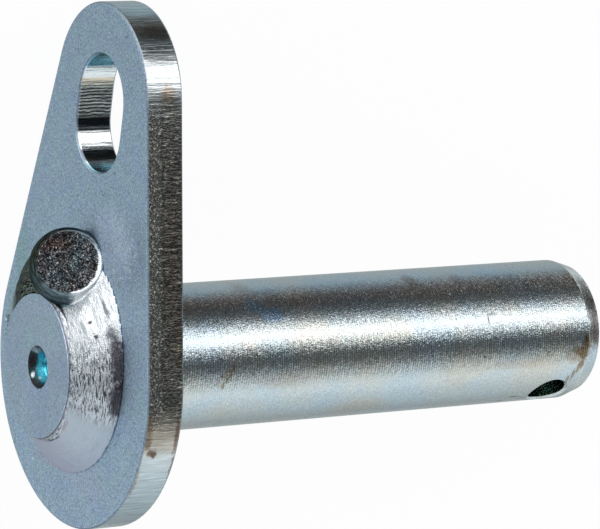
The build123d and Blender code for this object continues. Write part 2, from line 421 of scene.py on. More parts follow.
class PIVOTPIN_OT_stage(bpy.types.Operator):
    """Floor, studio light and camera"""

    bl_idname = "pivotpin.stage"
    bl_label = "Stage"

    def execute(self, context):
        settings = context.scene.pivot_pin_stage
        self.add_floor(context, settings)
        self.add_studio(context, settings)
        self.add_camera(context, settings)
        context.scene.view_settings.view_transform = "Standard"
        return {"FINISHED"}

    def add_floor(self, context, settings):
        half = settings.floor_size / 2
        height = cad_box[0].z
        mesh = bpy.data.meshes.new("floor")
        corners = ((-half, -half), (half, -half), (half, half), (-half, half))
        mesh.from_pydata([(x, y, height) for x, y in corners], [], [(0, 1, 2, 3)])
        floor = bpy.data.objects.new("floor", mesh)
        context.scene.collection.objects.link(floor)
        floor.visible_glossy = False
        # White paper: seen directly it is white with a soft shadow, to everything else it is paper.
        material, tree = new_material("white paper floor")
        rays = add_node(tree, "LightPath")
        paper = add_node(tree, "BsdfDiffuse", {"Color": settings.floor_colour})
        white = add_node(tree, "Emission", {"Color": (1, 1, 1, 1), "Strength": 1.0})
        share = add_node(
            tree, "Math", {0: rays.outputs["Is Camera Ray"], 1: 0.96}, operation="MULTIPLY"
        )
        mixed = add_node(tree, "MixShader", {0: share, 1: paper, 2: white})
        add_node(tree, "OutputMaterial", {"Surface": mixed})
        mesh.materials.append(material)

    def add_studio(self, context, settings):
        # Long strip lights and dark gaps hang round the part, all parallel to the bar.  Off the
        # bar's head end a wider soft box takes their place, and low off its far end a grey card.
        world = bpy.data.worlds.new("strip light studio")
        world.use_nodes = True
        context.scene.world = world
        tree = world.node_tree
        tree.nodes.clear()
        place = add_node(tree, "TexCoord")
        sides = {
            name: add_node(
                tree,
                "VectorMath",
                {0: place.outputs["Generated"], 1: direction},
                operation="DOT_PRODUCT",
            )
            for name, direction in (("end", ALONG_BAR), ("lug", ALONG_LUG), ("up", ACROSS))
        }
        turn = add_node(tree, "Math", {0: sides["up"], 1: sides["lug"]}, operation="ARCTAN2")
        degrees = add_node(tree, "Math", {0: turn}, operation="DEGREES")
        wrapped = add_node(
            tree, "Math", {0: degrees, 1: STUDIO_TURN[1], 2: STUDIO_TURN[0]}, operation="WRAP"
        )
        spread = add_node(
            tree,
            "MapRange",
            {"Value": wrapped, "From Min": STUDIO_TURN[0], "From Max": STUDIO_TURN[1]},
        )
        # Angle about the bar, from the lug's direction, and the light that comes from there.
        bands = [
            (-120, "#7C8485"),
            (-104, "#7F8687"),
            (-86, "#798082"),
            (-64, "#7B8489"),
            (-48, "#74828A"),
            (-40, "#636B70"),
            (-32, "#54504F"),
            (-24, "#3D3733"),
            (-6, "#2C2B2B"),
            (8, "#36393A"),
            (16, "#484C4E"),
            (24, "#70777A"),
            (32, "#B0B5B7"),
            (40, "#FFFFFF"),
            (52, "#FFFFFF"),
            (58, "#C8CCCE"),
            (64, "#949A9C"),
            (72, "#464C4F"),
            (80, "#36393B"),
            (88, "#383B3D"),
            (96, "#464848"),
            (104, "#5F6261"),
            (120, "#969A99"),
            (134, "#BDC1C1"),
            (152, "#A7ADAF"),
            (176, "#929A9C"),
            (204, "#7C8385"),
            (218, "#6C7274"),
            (230, "#888B8B"),
            (240, "#7C8485"),
        ]
        soft_box = [
            (-120, "#848D8E"),
            (-86, "#8C9496"),
            (-60, "#C8CCCE"),
            (-46, "#FFFFFF"),
            (52, "#FFFFFF"),
            (68, "#AEB2B4"),
            (86, "#5A5C5E"),
            (104, "#66696B"),
            (128, "#A4A8AC"),
            (170, "#B4B8BE"),
            (206, "#A6AAB0"),
            (240, "#848D8E"),
        ]
        ramps = [
            add_node(tree, "ValToRGB", {0: spread}, stops=stops, span=STUDIO_TURN)
            for stops in (bands, soft_box)
        ]
        # Where the soft box and the grey card take over, and where the soft box ends again.
        head_side, past_box, far_side, low = (
            add_node(
                tree,
                "MapRange",
                {"Value": sides[side], "From Min": start, "From Max": end},
                interpolation_type="SMOOTHSTEP",
            )
            for side, start, end in (
                ("end", -0.1, -0.4),
                ("end", -0.93, -0.985),
                ("end", 0.62, 0.74),
                ("up", -0.05, -0.2),
            )
        )
        box_light = add_node(
            tree,
            "Mix",
            {"Factor": past_box, "A": ramps[1], "B": linear("#7C8486")},
            data_type="RGBA",
        )
        light = add_node(
            tree, "Mix", {"Factor": head_side, "A": ramps[0], "B": box_light}, data_type="RGBA"
        )
        card = add_node(tree, "Math", {0: far_side, 1: low}, operation="MULTIPLY")
        with_card = add_node(
            tree, "Mix", {"Factor": card, "A": light, "B": linear("#9AA0A2")}, data_type="RGBA"
        )
        strips = add_node(tree, "Background", {"Color": with_card, "Strength": settings.level})
        white = add_node(tree, "Background", {"Color": (1, 1, 1, 1), "Strength": 1.0})
        rays = add_node(tree, "LightPath")
        mixed = add_node(tree, "MixShader", {0: rays.outputs["Is Camera Ray"], 1: strips, 2: white})
        add_node(tree, "OutputWorld", {"Surface": mixed})

    def add_camera(self, context, settings):
        data = bpy.data.cameras.new("camera")
        data.lens = settings.lens
        data.sensor_width = 36.0
        data.clip_start, data.clip_end = 0.01, 100.0
        camera = bpy.data.objects.new("camera", data)
        context.scene.collection.objects.link(camera)
        # It looks down on the head and the upper side, rolled so that the bar runs to the right.
        place = Vector((-0.270253, 0.392424, 0.605212))
        right = Vector((0.91721449, 0.23323149, 0.32298708)).normalized()
        back = Vector((-0.39734204, 0.47667703, 0.78415452)).normalized()
        up = back.cross(right).normalized()
        right = up.cross(back)
        turn = Matrix((right, up, back)).transposed().to_4x4()
        camera.matrix_world = Matrix.Translation(place) @ turn
        context.scene.camera = camera


class PIVOTPIN_OT_bar(bpy.types.Operator):
    """Finish of the turned bar"""

    bl_idname = "pivotpin.bar"
    bl_label = "Bar finish"

    def execute(self, context):
        settings = context.scene.pivot_pin_finish
        # Blue-passivated zinc on turned steel: a satin mirror, pale and cool, with fine lines
        # round the bar and a crystalline sparkle where light meets dark.
        material, tree = new_material("blue-passivated zinc on turned steel")
        at = part_coordinates(tree)
        around = round_bar(tree, at)
        angle, radius, along = add_node(tree, "SeparateXYZ", {0: around}).outputs

        # Feed marks of a turned bar are 0.18 mm apart; three are drawn as one.
        pitch = settings.turning_pitch / MM
        feed = add_node(
            tree,
            "TexWave",
            {
                "Vector": at,
                "Scale": WAVE_LENGTH / pitch,
                "Distortion": 0.9,
                "Detail": 2.0,
                "Detail Scale": 0.8,
            },
            bands_direction="X",
        )
        strokes_at = add_node(tree, "Mapping", {"Vector": at, "Scale": (1.5 / pitch, 0.55, 0.55)})
        strokes = add_node(
            tree, "TexNoise", {"Vector": strokes_at, "Scale": 1.0, "Detail": 2.0, "Roughness": 0.6}
        )
        # Zinc crystals are hundredths of a millimetre; they are drawn 0.3 mm across to show.
        facets = add_node(tree, "TexVoronoi", {"Vector": at, "Scale": 2.9})
        grain, ragged, clouds = (
            add_node(
                tree,
                "TexNoise",
                {"Vector": at, "Scale": scale, "Detail": detail, "Roughness": roughness},
            )
            for scale, detail, roughness in ((2.9, 2.0, 0.75), (0.9, 3.0, 0.65), (0.085, 3.0, 0.55))
        )

        tone = add_node(
            tree,
            "ValToRGB",
            {0: clouds},
            stops=[(0.36, "#BFD0DC"), (0.5, "#CBD2D3"), (0.64, "#D2CDC3")],
        )
        wash = add_node(
            tree, "Mix", {"Factor": 0.4, "A": tone, "B": settings.bar_colour}, data_type="RGBA"
        )
        colour = wash
        for marks in (BAR_MARKS, BAR_RUST, BURRS):
            colour = lay_marks(tree, at, ragged, colour, marks)

        # The end faces are as matt as the lug.  Round the head's end the weld's heat has melted
        # the edge into streaks.
        head = add_node(
            tree,
            "MapRange",
            {"Value": along, "From Min": HEAD_END + 0.2, "From Max": HEAD_END + 0.1},
        )
        far_face = add_node(
            tree,
            "MapRange",
            {"Value": along, "From Min": FAR_END - 0.15, "From Max": FAR_END - 0.05},
        )
        end_faces = add_node(tree, "Math", {0: head, 1: far_face}, operation="ADD")
        melted = add_node(
            tree,
            "MapRange",
            {"Value": along, "From Min": HEAD_END + 2.5, "From Max": HEAD_END + 2.3},
        )
        streaks = streaks_along_run(tree, around)
        melt_colour = add_node(
            tree,
            "ValToRGB",
            {0: streaks},
            stops=[(0.36, "#4E545C"), (0.48, "#B4BAC0"), (0.6, "#D8DCE0")],
        )
        undercut = add_node(
            tree,
            "MapRange",
            {
                "Value": along,
                "From Min": HEAD_END + 0.6,
                "From Max": HEAD_END + 0.25,
                "To Max": 0.8,
            },
        )
        melt_edge = add_node(
            tree,
            "Mix",
            {"Factor": undercut, "A": melt_colour, "B": linear("#453F4A")},
            data_type="RGBA",
        )
        colour = add_node(
            tree, "Mix", {"Factor": melted, "A": colour, "B": melt_edge}, data_type="RGBA"
        )
        head_colour = add_node(
            tree,
            "ValToRGB",
            {0: clouds},
            stops=[(0.38, "#A6B6D2"), (0.5, "#AEBECE"), (0.62, "#AAC2C8")],
        )
        face = add_node(
            tree,
            "Mix",
            {"Factor": 0.5, "A": head_colour, "B": settings.face_colour},
            data_type="RGBA",
        )
        colour = add_node(
            tree, "Mix", {"Factor": end_faces, "A": colour, "B": face}, data_type="RGBA"
        )
        near_axis = add_node(
            tree,
            "MapRange",
            {"Value": radius, "From Min": CENTRE_MOUTH + 0.15, "From Max": CENTRE_MOUTH - 0.05},
        )
        on_shank = add_node(tree, "MapRange", {"Value": along, "From Min": -0.2, "From Max": 0.0})
        in_centre = add_node(
            tree, "Math", {0: near_axis, 1: on_shank}, operation="SUBTRACT", use_clamp=True
        )
        # The lathe centre's mouth is dark with painted shade, and deeper in it is painted bright
        # blue-green as painted light.
        centre_depth = add_node(
            tree, "MapRange", {"Value": along, "From Min": HEAD_END, "From Max": HEAD_END + 4.0}
        )
        centre_light_by_depth = add_node(
            tree,
            "ValToRGB",
            {0: centre_depth},
            stops=[(0.15, "#141C1E"), (0.32, "#1E4A56"), (0.45, "#2E9CB4"), (0.8, "#4CC4DC")],
        )
        # The painted light and shade of the lathe centre, with its marks.
        centre_painted_light = lay_marks(tree, at, ragged, centre_light_by_depth, CENTRE_LIGHT_AND_SHADE)
        colour = add_node(
            tree, "Mix", {"Factor": in_centre, "A": colour, "B": centre_painted_light}, data_type="RGBA"
        )

        # Inside the split-pin hole the colour is a pale green, lighter in patches.
        to_hole = add_node(tree, "VectorMath", {0: at, 1: HOLE_CENTRE}, operation="SUBTRACT")
        round_hole = add_node(
            tree, "VectorMath", {0: to_hole, 1: HOLE_AXIS}, operation="CROSS_PRODUCT"
        )
        from_hole = add_node(tree, "VectorMath", {0: round_hole}, operation="LENGTH")
        in_hole = add_node(
            tree,
            "MapRange",
            {"Value": from_hole, "From Min": HOLE_RADIUS + 0.12, "From Max": HOLE_RADIUS + 0.02},
        )
        hole_colour = add_node(
            tree, "ValToRGB", {0: ragged}, stops=[(0.42, "#A4B8B0"), (0.56, "#D4E4DC")]
        )
        colour = add_node(
            tree, "Mix", {"Factor": in_hole, "A": colour, "B": hole_colour}, data_type="RGBA"
        )

        # Each crystal has a tint and a shade of its own.
        tinted = add_node(
            tree,
            "Mix",
            {"Factor": 0.05, "A": colour, "B": facets.outputs["Color"]},
            data_type="RGBA",
        )
        shank_speckle, head_speckle = (
            add_node(
                tree,
                "MapRange",
                {"Value": grain, "From Min": 0.3, "From Max": 0.7, "To Min": low, "To Max": high},
            )
            for low, high in ((0.85, 1.17), (0.66, 1.35))
        )
        speckle = add_node(
            tree, "Mix", {"Factor": end_faces, "A": shank_speckle, "B": head_speckle}
        )
        # The lathe's lines are painted as ticks of light and shade along one side of the shank.
        feed_relief = add_node(
            tree, "Math", {0: feed.outputs["Fac"], 1: 0.38, 2: strokes}, operation="MULTIPLY_ADD"
        )
        tick = add_node(
            tree,
            "MapRange",
            {
                "Value": feed_relief,
                "From Min": 0.44,
                "From Max": 0.94,
                "To Min": 0.68,
                "To Max": 1.32,
            },
        )
        turned = add_node(
            tree, "MapRange", {"Value": angle, "From Min": FULL_TURN[0], "From Max": FULL_TURN[1]}
        )
        tick_share = add_node(
            tree,
            "ValToRGB",
            {0: turned},
            stops=[(56, "#000000"), (68, "#E0E0E0"), (84, "#FFFFFF"), (102, "#000000")],
            span=FULL_TURN,
        )
        ticked = add_node(tree, "Mix", {"Factor": tick_share, "A": 1.0, "B": tick})
        # A few crystals glint in the dark reflection along the other side.
        chance = add_node(tree, "SeparateXYZ", {0: facets.outputs["Color"]})
        glint = add_node(
            tree,
            "MapRange",
            {
                "Value": chance.outputs["Y"],
                "From Min": 0.84,
                "From Max": 0.92,
                "To Min": 1.0,
                "To Max": 2.6,
            },
        )
        glint_share = add_node(
            tree,
            "ValToRGB",
            {0: turned},
            stops=[(14, "#000000"), (26, "#E0E0E0"), (42, "#FFFFFF"), (50, "#000000")],
            span=FULL_TURN,
        )
        glinting = add_node(tree, "Mix", {"Factor": glint_share, "A": ticked, "B": glint})
        round_shank = add_node(tree, "Math", {0: on_shank, 1: far_face}, operation="SUBTRACT")
        shank_shade = add_node(tree, "Mix", {"Factor": round_shank, "A": 1.0, "B": glinting})
        shade = add_node(tree, "Math", {0: speckle, 1: shank_shade}, operation="MULTIPLY")
        colour = add_node(tree, "VectorMath", {0: tinted, "Scale": shade}, operation="SCALE")

        satin = add_node(
            tree,
            "MapRange",
            {"Value": ragged, "From Min": 0.3, "From Max": 0.7, "To Min": 0.06, "To Max": 0.11},
        )
        rough = add_node(tree, "Mix", {"Factor": end_faces, "A": satin, "B": 0.42})
        # The lines are crisp on the upper side and fade out under thicker zinc towards the
        # lug's narrow end.
        crisp = add_node(
            tree,
            "MapRange",
            {"Value": angle, "From Min": 38.0, "From Max": 56.0, "To Min": 0.2, "To Max": 1.15},
        )
        shank_relief = add_node(tree, "Math", {0: feed_relief, 1: crisp}, operation="MULTIPLY")
        melt_relief = add_node(tree, "Math", {0: streaks, 1: 2.5}, operation="MULTIPLY")
        relief = add_node(tree, "Mix", {"Factor": melted, "A": shank_relief, "B": melt_relief})
        ridges = add_node(tree, "Bump", {"Height": relief, "Strength": 1.0, "Distance": 0.055 * MM})
        crystals = add_node(
            tree,
            "Bump",
            {"Height": grain, "Strength": 1.0, "Distance": 0.055 * MM, "Normal": ridges},
        )
        # Each crystal leans its own way.
        leaning = add_node(
            tree,
            "VectorMath",
            {0: facets.outputs["Color"], 1: (0.5, 0.5, 0.5)},
            operation="SUBTRACT",
        )
        normal = add_node(
            tree,
            "VectorMath",
            {0: leaning, 1: (0.09, 0.09, 0.09), 2: crystals},
            operation="MULTIPLY_ADD",
        )
        shader = add_node(
            tree,
            "BsdfPrincipled",
            {"Base Color": colour, "Metallic": 1.0, "Roughness": rough, "Normal": normal},
        )
        add_node(tree, "OutputMaterial", {"Surface": shader})
        cover("pivot_bar", material)
        return {"FINISHED"}


class PIVOTPIN_OT_lug(bpy.types.Operator):
    """Finish of the lug"""

    bl_idname = "pivotpin.lug"
    bl_label = "Lug finish"

    def execute(self, context):
        settings = context.scene.pivot_pin_finish
        # Blue-passivated zinc on flame-cut plate: matt and blue on the rolled faces, shinier
        # and scored across the thickness on the cut edges, where it is thin and rusts first.
        material, tree = new_material("blue-passivated zinc on flame-cut plate")
        at = part_coordinates(tree)
        along, towards_tip, _ = add_node(tree, "SeparateXYZ", {0: at}).outputs
        half = LUG_THICKNESS / 2
        depth = add_node(tree, "Math", {0: along, 1: half}, operation="ADD")
        from_middle = add_node(tree, "Math", {0: depth}, operation="ABSOLUTE")
        on_edge = add_node(
            tree,
            "MapRange",
            {"Value": from_middle, "From Min": half - 0.15, "From Max": half - 0.55},
            interpolation_type="SMOOTHSTEP",
        )

        # Zinc grain, ragged edges for marks, clouds of colour, pits in the rolled faces, and the
        # grains of the cut.
        grain, ragged, clouds, pits, grains = (
            add_node(
                tree,
                "TexNoise",
                {"Vector": at, "Scale": scale, "Detail": detail, "Roughness": roughness},
            )
            for scale, detail, roughness in (
                (2.4, 3.0, 0.8),
                (0.9, 3.0, 0.65),
                (0.3, 4.0, 0.75),
                (0.95, 2.0, 0.6),
                (2.1, 2.0, 0.7),
            )
        )
        pitted = add_node(
            tree,
            "MapRange",
            {"Value": pits, "From Min": 0.64, "From Max": 0.72, "To Min": 1.0, "To Max": 0.66},
        )
        face_tone = add_node(
            tree,
            "ValToRGB",
            {0: clouds},
            stops=[(0.38, "#A6B6D2"), (0.5, "#ACBED0"), (0.62, "#AEC6CE")],
        )
        face = add_node(
            tree,
            "Mix",
            {"Factor": 0.4, "A": face_tone, "B": settings.face_colour},
            data_type="RGBA",
        )
        # The faces are a little darker towards the narrow end.
        fade = add_node(
            tree,
            "MapRange",
            {
                "Value": towards_tip,
                "From Min": -30.0,
                "From Max": 70.0,
                "To Min": 1.10,
                "To Max": 0.94,
            },
        )
        face_shade = add_node(
            tree,
            "MapRange",
            {"Value": grain, "From Min": 0.3, "From Max": 0.7, "To Min": 0.55, "To Max": 1.45},
        )
        # Painted shade darkens the crease where the weld's stopped end meets the face, and the
        # rounded corners of the faces.
        to_foot = add_node(
            tree,
            "VectorMath",
            {0: at, 1: (-LUG_THICKNESS, MOUND_CENTRE.y, MOUND_CENTRE.z)},
            operation="DISTANCE",
        )
        crease = add_node(
            tree, "MapRange", {"Value": to_foot, "From Min": 6.8, "From Max": 7.2, "To Min": 0.4}
        )
        corner = add_node(
            tree,
            "MapRange",
            {
                "Value": from_middle,
                "From Min": half - 0.015,
                "From Max": half - 0.1,
                "To Min": 1.0,
                "To Max": 0.55,
            },
        )
        shade = fade
        for part in (face_shade, pitted, crease, corner):
            shade = add_node(tree, "Math", {0: shade, 1: part}, operation="MULTIPLY")
        face_colour = lay_marks(tree, at, ragged, face, FACE_MARKS)
        face_colour = add_node(
            tree, "VectorMath", {0: face_colour, "Scale": shade}, operation="SCALE"
        )

        # Drag lines of the flame cut run across the thickness and lean and wander a little.
        pitch = settings.cut_pitch / MM
        lines_at = add_node(tree, "Mapping", {"Vector": at, "Scale": (0.16, 1 / pitch, 1 / pitch)})
        lines = add_node(
            tree,
            "TexNoise",
            {"Vector": lines_at, "Scale": 1.0, "Detail": 3.0, "Roughness": 0.6, "Distortion": 0.15},
        )
        # Towards the front face the cut is granular; behind, short ticks run across it.
        ticks_at = add_node(tree, "Mapping", {"Vector": at, "Scale": (0.45, 1.9, 1.9)})
        ticks = add_node(
            tree, "TexNoise", {"Vector": ticks_at, "Scale": 1.0, "Detail": 2.0, "Roughness": 0.65}
        )
        wandering = add_node(tree, "Math", {0: ragged, 1: 2.0, 2: along}, operation="MULTIPLY_ADD")
        front = add_node(tree, "MapRange", {"Value": wandering, "From Min": -3.2, "From Max": -4.2})
        sparkle = add_node(tree, "Mix", {"Factor": front, "A": ticks, "B": grains})
        # The straight flanks are dark and rough from the cut; the two round ends are cleaner.
        along_lug = add_node(
            tree, "MapRange", {"Value": towards_tip, "From Min": -35.0, "From Max": 75.0}
        )
        rim_tone = add_node(
            tree,
            "ValToRGB",
            {0: along_lug},
            stops=[
                (0.00, "#C4D6DE"),
                (0.235, "#CAD6DC"),
                (0.26, "#C4C0B8"),
                (0.30, "#A09C94"),
                (0.32, "#7E7A74"),
                (0.345, "#5C5E5C"),
                (0.835, "#5E605E"),
                (0.865, "#C8CCCC"),
                (0.89, "#F4F8FA"),
                (0.94, "#D6DEE2"),
                (1.00, "#C8D8DC"),
            ],
        )
        roughly_cut = add_node(
            tree,
            "ValToRGB",
            {0: along_lug},
            stops=[(0.285, "#202020"), (0.34, "#FFFFFF"), (0.82, "#FFFFFF"), (0.87, "#202020")],
        )
        rim_marked = lay_marks(tree, at, ragged, rim_tone, RIM_RUST)
        rim_tinted = add_node(
            tree,
            "Mix",
            {"Factor": 0.15, "A": rim_marked, "B": settings.rim_colour},
            data_type="RGBA",
        )
        rim_shade = add_node(
            tree,
            "MapRange",
            {"Value": lines, "From Min": 0.3, "From Max": 0.7, "To Min": 0.76, "To Max": 1.14},
        )
        # Bare crystals glint all over the flanks.
        glint_back, glint_front = (
            add_node(
                tree,
                "MapRange",
                {
                    "Value": sparkle,
                    "From Min": low,
                    "From Max": 0.70,
                    "To Min": least,
                    "To Max": most,
                },
            )
            for low, least, most in ((0.58, 0.74, 2.4), (0.52, 0.54, 3.1))
        )
        glint = add_node(tree, "Mix", {"Factor": front, "A": glint_back, "B": glint_front})
        glint_share = add_node(tree, "Mix", {"Factor": roughly_cut, "A": 1.0, "B": glint})
        rim_light = add_node(tree, "Math", {0: rim_shade, 1: glint_share}, operation="MULTIPLY")
        rim_colour = add_node(
            tree, "VectorMath", {0: rim_tinted, "Scale": rim_light}, operation="SCALE"
        )

        # The slot's wall was milled. Round its ends it has painted bands of highlight and shade, it
        # is blue-green in its two corners, and its ripples along the straight side, every 0.68 mm,
        # are painted dark as shade.
        in_slot = add_node(
            tree,
            "Mapping",
            {"Vector": at, "Location": (-half, SLOT_CENTRE, 0), "Scale": (30, 13, 10.5)},
            vector_type="TEXTURE",
        )
        slot_reach = add_node(tree, "VectorMath", {0: in_slot}, operation="LENGTH")
        on_wall = add_node(tree, "Math", {0: slot_reach, 1: 1.0}, operation="LESS_THAN")
        along_slot = add_node(
            tree, "MapRange", {"Value": towards_tip, "From Min": 41.0, "From Max": 64.5}
        )
        wall_tone_and_painted_light = add_node(
            tree,
            "ValToRGB",
            {0: along_slot},
            stops=[
                (0.000, "#6FB4C6"),
                (0.011, "#9CC8D4"),
                (0.026, "#C4DCE4"),
                (0.038, "#5A6468"),
                (0.094, "#4A5054"),
                (0.115, "#FFFFFF"),
                (0.217, "#FFFFFF"),
                (0.243, "#4A4E52"),
                (0.340, "#34393C"),
                (0.357, "#C0C6C8"),
                (0.617, "#C4CACA"),
                (0.694, "#D4C8B4"),
                (0.706, "#DCE2E4"),
                (0.809, "#E8EEF0"),
                (0.826, "#7CB6C8"),
                (1.000, "#58A6C2"),
            ],
        )
        ripples = add_node(
            tree,
            "TexWave",
            {
                "Vector": at,
                "Scale": WAVE_LENGTH / 0.68,
                "Distortion": 4.4,
                "Detail": 2.0,
                "Detail Scale": 0.8,
            },
            bands_direction="Y",
        )
        ripple_share = add_node(
            tree,
            "ValToRGB",
            {0: along_slot},
            stops=[(0.33, "#303030"), (0.37, "#FFFFFF"), (0.60, "#FFFFFF"), (0.68, "#303030")],
        )
        ripple_shade = add_node(
            tree,
            "MapRange",
            {"Value": ripples.outputs["Fac"], "From Min": 0.55, "From Max": 0.25, "To Max": 0.92},
            interpolation_type="SMOOTHSTEP",
        )
        rippled = add_node(tree, "Math", {0: ripple_shade, 1: ripple_share}, operation="MULTIPLY")
        wall_colour = add_node(
            tree,
            "Mix",
            {"Factor": rippled, "A": wall_tone_and_painted_light, "B": linear("#1E2224")},
            data_type="RGBA",
        )
        edge_colour = add_node(
            tree, "Mix", {"Factor": on_wall, "A": rim_colour, "B": wall_colour}, data_type="RGBA"
        )
        colour = add_node(
            tree, "Mix", {"Factor": on_edge, "A": face_colour, "B": edge_colour}, data_type="RGBA"
        )
        edge_rough = add_node(tree, "MapRange", {"Value": on_wall, "To Min": 0.20, "To Max": 0.10})
        # Beside the weld's stopped end the heat left the plating chalky, so it scatters light.
        chalky = patch(tree, at, ragged, (-8.0, 29.0, 11.5), (1.5, 8.0, 10.5))
        metal = add_node(tree, "MapRange", {"Value": chalky, "To Min": 1.0, "To Max": 0.40})
        rough = add_node(tree, "Mix", {"Factor": on_edge, "A": 0.46, "B": edge_rough})
        rolled = add_node(tree, "Bump", {"Height": grain, "Strength": 1.0, "Distance": 0.05 * MM})
        off_wall = add_node(tree, "MapRange", {"Value": on_wall, "To Min": 2.4, "To Max": 0.4})
        burr = add_node(tree, "Math", {0: roughly_cut, 1: off_wall}, operation="MULTIPLY")
        line_depth = add_node(
            tree, "MapRange", {"Value": roughly_cut, "To Min": 0.85, "To Max": 1.0}
        )
        drag = add_node(tree, "Math", {0: lines, 1: line_depth}, operation="MULTIPLY")
        cut_relief = add_node(
            tree, "Math", {0: sparkle, 1: burr, 2: drag}, operation="MULTIPLY_ADD"
        )
        cut = add_node(tree, "Bump", {"Height": cut_relief, "Strength": 1.0, "Distance": 0.11 * MM})
        normal = add_node(tree, "Mix", {"Factor": on_edge, "A": rolled, "B": cut}, data_type="RGBA")
        shader = add_node(
            tree,
            "BsdfPrincipled",
            {"Base Color": colour, "Metallic": metal, "Roughness": rough, "Normal": normal},
        )
        add_node(tree, "OutputMaterial", {"Surface": shader})
        cover("retaining_lug", material)
        return {"FINISHED"}


class PIVOTPIN_OT_weld(bpy.types.Operator):
    """The weld's run and stopped end, with its ripples and spatter"""

    bl_idname = "pivotpin.weld"
    bl_label = "Weld"

    def execute(self, context):
        settings = context.scene.pivot_pin_finish
        weld = self.add_relief(context, settings)
        weld.data.materials.clear()
        weld.data.materials.append(self.finish(settings))
        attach(weld, "root")
        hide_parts("weld_bead")
        return {"FINISHED"}

    def add_relief(self, context, settings):
        """Remeshes the CAD bead on a fine, even grid and works the weld's surface into it."""
        source = frame["nodes"]["weld_bead"]
        weld = bpy.data.objects.new("weld", source.data.copy())
        context.scene.collection.objects.link(weld)
        join = weld.modifiers.new("join", "WELD")
        join.merge_threshold = 0.001 * MM
        grid = weld.modifiers.new("grid", "REMESH")
        grid.mode = "VOXEL"
        grid.voxel_size = settings.weld_grid
        soften = weld.modifiers.new("soften", "SMOOTH")
        soften.factor = 0.5
        soften.iterations = 5
        context.view_layer.update()
        mesh = bpy.data.meshes.new_from_object(
            weld.evaluated_get(context.evaluated_depsgraph_get())
        )
        weld.modifiers.clear()
        weld.data = mesh
        if not mesh.vertices:
            raise RuntimeError("the weld's surface mesh is empty")
        self.shape(mesh)
        self.add_spatter(mesh)
        mesh.polygons.foreach_set("use_smooth", [True] * len(mesh.polygons))
        return weld

    def shape(self, mesh):
        """Lifts the ripples, the slag, the crater's lip and the drop, within the CAD's box."""
        count = len(mesh.vertices)
        points = np.empty(count * 3)
        mesh.vertices.foreach_get("co", points)
        points = points.reshape(-1, 3)
        to_part = np.array(TO_PART)
        normals = np.array([v.normal for v in mesh.vertices]) @ to_part.T
        part = points @ to_part.T / MM
        along, lug, across = part.T
        radius = np.hypot(lug, across)
        turn = np.degrees(np.arctan2(across, lug))

        from_ball = part - np.array(MOUND_CENTRE)
        ball_distance = np.linalg.norm(from_ball, axis=1)
        level = from_ball @ np.array(CRATER_FACING)
        off_centre = np.sqrt(np.maximum(ball_distance**2 - level**2, 0))
        in_crater = np.clip((CRATER_RADIUS - off_centre) / 0.5, 0, 1) * (level > CRATER_LEVEL - 1.5)
        on_ball = np.clip(1.4 - np.abs(ball_distance - MOUND_RADIUS) / 0.5, 0, 1) * (1 - in_crater)
        # The ripples die out at the toe, so it meets the lug in a clean line.
        above_toe = np.clip((-LUG_THICKNESS - along) / 1.4, 0.1, 1)

        lift = np.zeros(count)
        for i in range(count):
            # Streaks that follow the run, long round the bar and short across it.
            run = noise.fractal(
                Vector((turn[i] / 16, radius[i] * 1.3, along[i] * 1.3)), 0.8, 2.0, 4
            )
            seed = Vector(part[i])
            lump = noise.noise(seed * 0.45)
            slag = noise.noise(seed * 1.6) * 0.5 + noise.noise(seed * 3.4) * 0.5
            free = 1 - max(in_crater[i], on_ball[i])
            skin = (run * RIPPLE_HEIGHT + lump * LUMP_HEIGHT) * free * above_toe[i]
            lift[i] = skin + slag * SLAG_HEIGHT * in_crater[i]
        # A drop of metal that ran down from the stopped end.
        drop = ((turn - DROP_ANGLE) / 9) ** 2 + (radius - DROP_DISTANCE) ** 2
        lift += DROP_HEIGHT * np.exp(-drop) * (1 - on_ball)
        # A lip stands round the crater, sharp on the upper side and worn down towards the tail.
        edge = np.hypot(off_centre - CRATER_RADIUS, level - CRATER_LEVEL)
        ahead = from_ball @ np.array(LIP_SIDE) / np.maximum(off_centre, 1e-6)
        aside = from_ball @ np.array(LIP_NEXT) / np.maximum(off_centre, 1e-6)
        lip = 0.05 + 0.30 * np.clip(ahead * 1.6, 0, 1) + 0.14 * np.clip(aside * 1.5, 0, 1)
        lift += lip * np.exp(-((edge / 0.45) ** 2))
        part += normals * lift[:, None]

        points = part @ to_part * MM
        low_corner, high_corner = (np.array(corner) for corner in cad_box)
        points = np.clip(points, low_corner, high_corner)
        mesh.vertices.foreach_set("co", points.ravel())
        mesh.update()

    def add_spatter(self, mesh):
        """Adds the beads of spatter, flattened along the bar."""
        shape = bmesh.new()
        shape.from_mesh(mesh)
        to_scene = TO_PART.transposed()
        for centre, size in SPATTER:
            place = Matrix.Translation(to_scene @ Vector(centre) * MM) @ (
                to_scene.to_4x4() @ Matrix.Diagonal((0.7, 1.0, 1.0, 1.0))
            )
            bmesh.ops.create_icosphere(shape, subdivisions=3, radius=size / 2 * MM, matrix=place)
        shape.to_mesh(mesh)
        shape.free()

    def finish(self, settings):
        # Blue-passivated zinc on weld metal: bright and streaked along the run, powdery where
        # it was laid cold, and dark with slag in the crater and down its tail.
        material, tree = new_material("blue-passivated zinc on weld metal")
        at = part_coordinates(tree)
        around = round_bar(tree, at)
        angle = add_node(tree, "SeparateXYZ", {0: around}).outputs["X"]
        turned = add_node(
            tree, "MapRange", {"Value": angle, "From Min": FULL_TURN[0], "From Max": FULL_TURN[1]}
        )
        streaks = streaks_along_run(tree, around)
        grain, ragged, clouds = (
            add_node(
                tree,
                "TexNoise",
                {"Vector": at, "Scale": scale, "Detail": detail, "Roughness": roughness},
            )
            for scale, detail, roughness in ((3.0, 2.0, 0.7), (0.9, 3.0, 0.65), (0.3, 2.0, 0.6))
        )

